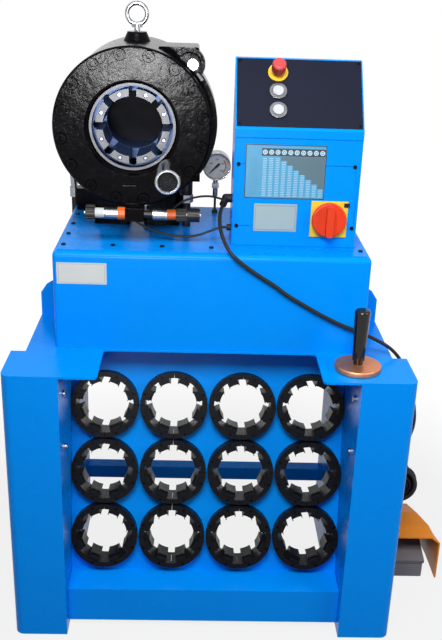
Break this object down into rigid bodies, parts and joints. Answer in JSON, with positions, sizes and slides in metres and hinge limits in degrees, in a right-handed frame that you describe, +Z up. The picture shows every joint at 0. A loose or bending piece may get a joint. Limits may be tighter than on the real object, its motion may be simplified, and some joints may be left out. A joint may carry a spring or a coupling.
{
  "type": "hose crimping machine",
  "caption": "Free-standing hydraulic hose crimping machine with radial jaws, a control box, a rack of stored die sets in its stand, and a foot pedal on a cord.",
  "frame": {"origin": "middle of the whole footprint, pedal included, on the floor", "axes": "+X to the operator's right, -Y towards the operator, +Z up"},
  "size_m": [1.039, 0.571, 1.3815],
  "materials": {
    "blue_paint": "semi-gloss",
    "black_gloss_paint": "gloss",
    "black_oxide_steel": "satin",
    "jaw_steel": "ground, satin",
    "bore_steel": "dark, satin",
    "bright_steel": "polished",
    "slate_plastic": "fine matt",
    "yellow_plastic": "gloss",
    "red_plastic": "gloss",
    "light_grey_plastic": "satin",
    "clear_glass": "clear",
    "black_plastic": "satin",
    "hose_rubber": "satin",
    "cord_rubber": "satin",
    "orange_paint": "semi-gloss",
    "grey_paint": "satin",
    "copper_anodised": "satin anodised",
    "machine_grey": "painted, satin"
  },
  "bodies": {
    "machine": {"columns": "blue_paint", "deck": "blue_paint", "rack_sheet": "blue_paint", "stand_rails": "blue_paint", "cabinet_shell": "blue_paint", "cabinet_lid": "blue_paint", "box_body": "blue_paint", "box_cover": "blue_paint", "head_front_ring": "black_gloss_paint", "head_housing": "black_gloss_paint", "head_bolts": "black_oxide_steel", "bore_tube": "bore_steel", "eye_bolt": "bright_steel", "work_lamp": "bright_steel", "adjuster_rod": "bright_steel", "head_fittings": "bright_steel", "small_screws": "bright_steel", "gauge_case": "bright_steel", "adjuster_bracket": "black_gloss_paint", "console_panel": "slate_plastic", "yellow_plates": "yellow_plastic", "lenses": "clear_glass", "hoses_and_glands": "hose_rubber", "pedal_cord": "cord_rubber", "cord_coil": "cord_rubber", "sensor_lead_1": "cord_rubber", "sensor_lead_2": "cord_rubber", "pedal_guard": "orange_paint", "pedal_base": "grey_paint", "inner_equipment": "machine_grey"},
    "piston": {"piston": "bore_steel"},
    "stop_button": {"stop_button": "red_plastic"},
    "start_button": {"start_button": "light_grey_plastic"},
    "release_button": {"release_button": "light_grey_plastic"},
    "switch_knob": {"switch_knob": "red_plastic"},
    "gauge_needle": {"gauge_needle": "black_plastic"},
    "open_knob": {"open_knob": "black_plastic"},
    "close_knob": {"close_knob": "black_plastic"},
    "pedal_treadle": {"pedal_treadle": "grey_paint"},
    "change_tool": {"change_tool": "copper_anodised"},
    "jaw_1": {"jaw_1": "jaw_steel"},
    "jaw_2": {"jaw_2": "jaw_steel"},
    "jaw_3": {"jaw_3": "jaw_steel"},
    "jaw_4": {"jaw_4": "jaw_steel"},
    "jaw_5": {"jaw_5": "jaw_steel"},
    "jaw_6": {"jaw_6": "jaw_steel"},
    "jaw_7": {"jaw_7": "jaw_steel"},
    "jaw_8": {"jaw_8": "jaw_steel"},
    "die_set_01": {"die_set_01": "black_oxide_steel"},
    "die_set_02": {"die_set_02": "black_oxide_steel"},
    "die_set_03": {"die_set_03": "black_oxide_steel"},
    "die_set_04": {"die_set_04": "black_oxide_steel"},
    "die_set_05": {"die_set_05": "black_oxide_steel"},
    "die_set_06": {"die_set_06": "black_oxide_steel"},
    "die_set_07": {"die_set_07": "black_oxide_steel"},
    "die_set_08": {"die_set_08": "black_oxide_steel"},
    "die_set_09": {"die_set_09": "black_oxide_steel"},
    "die_set_10": {"die_set_10": "black_oxide_steel"},
    "die_set_11": {"die_set_11": "black_oxide_steel"},
    "die_set_12": {"die_set_12": "black_oxide_steel"}
  },
  "joints": [
    {"name": "piston_slide", "type": "slide", "parent": "machine", "child": "piston", "axis": [0, 1, 0], "range_m": [0, 0.051]},
    {"name": "jaw_1_slide", "type": "slide", "parent": "machine", "child": "jaw_1", "axis": [-0.9239, 0, -0.3827], "range_m": [0, 0.01785]},
    {"name": "jaw_2_slide", "type": "slide", "parent": "machine", "child": "jaw_2", "axis": [-0.3827, 0, -0.9239], "range_m": [0, 0.01785]},
    {"name": "jaw_3_slide", "type": "slide", "parent": "machine", "child": "jaw_3", "axis": [0.3827, 0, -0.9239], "range_m": [0, 0.01785]},
    {"name": "jaw_4_slide", "type": "slide", "parent": "machine", "child": "jaw_4", "axis": [0.9239, 0, -0.3827], "range_m": [0, 0.01785]},
    {"name": "jaw_5_slide", "type": "slide", "parent": "machine", "child": "jaw_5", "axis": [0.9239, 0, 0.3827], "range_m": [0, 0.01785]},
    {"name": "jaw_6_slide", "type": "slide", "parent": "machine", "child": "jaw_6", "axis": [0.3827, 0, 0.9239], "range_m": [0, 0.01785]},
    {"name": "jaw_7_slide", "type": "slide", "parent": "machine", "child": "jaw_7", "axis": [-0.3827, 0, 0.9239], "range_m": [0, 0.01785]},
    {"name": "jaw_8_slide", "type": "slide", "parent": "machine", "child": "jaw_8", "axis": [-0.9239, 0, 0.3827], "range_m": [0, 0.01785]},
    {"name": "die_set_01_slide", "type": "slide", "parent": "machine", "child": "die_set_01", "axis": [0, -0.9767, 0.2147], "range_m": [0, 0.07]},
    {"name": "die_set_02_slide", "type": "slide", "parent": "machine", "child": "die_set_02", "axis": [0, -0.9767, 0.2147], "range_m": [0, 0.07]},
    {"name": "die_set_03_slide", "type": "slide", "parent": "machine", "child": "die_set_03", "axis": [0, -0.9767, 0.2147], "range_m": [0, 0.07]},
    {"name": "die_set_04_slide", "type": "slide", "parent": "machine", "child": "die_set_04", "axis": [0, -0.9767, 0.2147], "range_m": [0, 0.07]},
    {"name": "die_set_05_slide", "type": "slide", "parent": "machine", "child": "die_set_05", "axis": [0, -0.9767, 0.2147], "range_m": [0, 0.07]},
    {"name": "die_set_06_slide", "type": "slide", "parent": "machine", "child": "die_set_06", "axis": [0, -0.9767, 0.2147], "range_m": [0, 0.07]},
    {"name": "die_set_07_slide", "type": "slide", "parent": "machine", "child": "die_set_07", "axis": [0, -0.9767, 0.2147], "range_m": [0, 0.07]},
    {"name": "die_set_08_slide", "type": "slide", "parent": "machine", "child": "die_set_08", "axis": [0, -0.9767, 0.2147], "range_m": [0, 0.07]},
    {"name": "die_set_09_slide", "type": "slide", "parent": "machine", "child": "die_set_09", "axis": [0, -0.9767, 0.2147], "range_m": [0, 0.07]},
    {"name": "die_set_10_slide", "type": "slide", "parent": "machine", "child": "die_set_10", "axis": [0, -0.9767, 0.2147], "range_m": [0, 0.07]},
    {"name": "die_set_11_slide", "type": "slide", "parent": "machine", "child": "die_set_11", "axis": [0, -0.9767, 0.2147], "range_m": [0, 0.07]},
    {"name": "die_set_12_slide", "type": "slide", "parent": "machine", "child": "die_set_12", "axis": [0, -0.9767, 0.2147], "range_m": [0, 0.07]},
    {"name": "stop_push", "type": "slide", "parent": "machine", "child": "stop_button", "axis": [0, 0.7891, -0.6143], "range_m": [0, 0.005], "stiffness_N_per_m": 900, "springref_m": -0.003},
    {"name": "start_push", "type": "slide", "parent": "machine", "child": "start_button", "axis": [0, 0.7891, -0.6143], "range_m": [0, 0.0025], "stiffness_N_per_m": 700, "springref_m": -0.002},
    {"name": "release_push", "type": "slide", "parent": "machine", "child": "release_button", "axis": [0, 0.7891, -0.6143], "range_m": [0, 0.0025], "stiffness_N_per_m": 700, "springref_m": -0.002},
    {"name": "switch_turn", "type": "hinge", "parent": "machine", "child": "switch_knob", "pos_m": [0.1665, -0.0925, 0.954], "axis": [0, 1, 0], "range_deg": [0, 90]},
    {"name": "gauge_needle_turn", "type": "hinge", "parent": "machine", "child": "gauge_needle", "pos_m": [-0.0735, 0.1945, 1.005], "axis": [0, 1, 0], "range_deg": [0, 270], "stiffness_Nm_per_rad": 0.001, "springref_deg": -34.38},
    {"name": "open_knob_turn", "type": "hinge", "parent": "machine", "child": "open_knob", "pos_m": [-0.3465, -0.0925, 0.96], "axis": [1, 0, 0], "continuous": true},
    {"name": "close_knob_turn", "type": "hinge", "parent": "machine", "child": "close_knob", "pos_m": [-0.1525, -0.0925, 0.96], "axis": [1, 0, 0], "continuous": true},
    {"name": "treadle_press", "type": "hinge", "parent": "machine", "child": "pedal_treadle", "pos_m": [0.4445, -0.0375, 0.0435], "axis": [-1, 0, 0], "range_deg": [0, 10], "stiffness_Nm_per_rad": 4, "springref_deg": -17.19},
    {"name": "change_tool_lift", "type": "slide", "parent": "machine", "child": "change_tool", "axis": [0, 0, 1], "range_m": [0, 0.12]}
  ],
  "couplings": [
    {"joint": "jaw_1_slide", "follows": "piston_slide", "ratio": 0.35},
    {"joint": "jaw_2_slide", "follows": "piston_slide", "ratio": 0.35},
    {"joint": "jaw_3_slide", "follows": "piston_slide", "ratio": 0.35},
    {"joint": "jaw_4_slide", "follows": "piston_slide", "ratio": 0.35},
    {"joint": "jaw_5_slide", "follows": "piston_slide", "ratio": 0.35},
    {"joint": "jaw_6_slide", "follows": "piston_slide", "ratio": 0.35},
    {"joint": "jaw_7_slide", "follows": "piston_slide", "ratio": 0.35},
    {"joint": "jaw_8_slide", "follows": "piston_slide", "ratio": 0.35}
  ]
}
